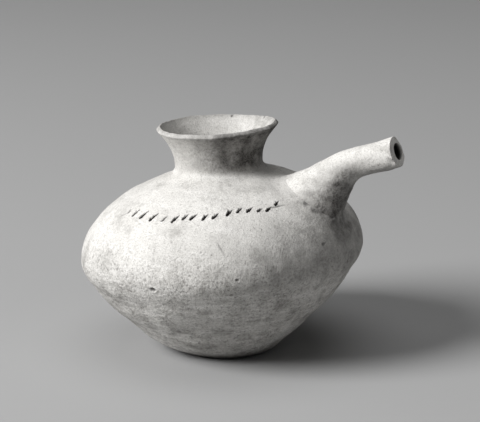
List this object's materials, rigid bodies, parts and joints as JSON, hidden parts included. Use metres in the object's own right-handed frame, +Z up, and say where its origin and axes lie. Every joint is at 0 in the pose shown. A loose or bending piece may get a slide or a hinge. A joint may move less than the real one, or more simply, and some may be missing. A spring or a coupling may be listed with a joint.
{
  "type": "ewer",
  "caption": "Squat round-bellied clay ewer with a flared open neck, a bent tubular pouring spout in a flared collar, and a small flat base.",
  "frame": {"origin": "middle of the flat face that the vessel stands on", "axes": "+Z up out of the resting face, +X towards the spout"},
  "size_m": [0.2013, 0.17, 0.1422],
  "materials": {
    "fired_clay": "unglazed earthenware, smoothed and dry, matt"
  },
  "bodies": {
    "root": {"base": "fired_clay", "lower_bowl": "fired_clay", "shoulder": "fired_clay", "neck": "fired_clay", "neck_luting": "fired_clay", "spout": "fired_clay", "spout_collar": "fired_clay"}
  },
  "joints": []
}
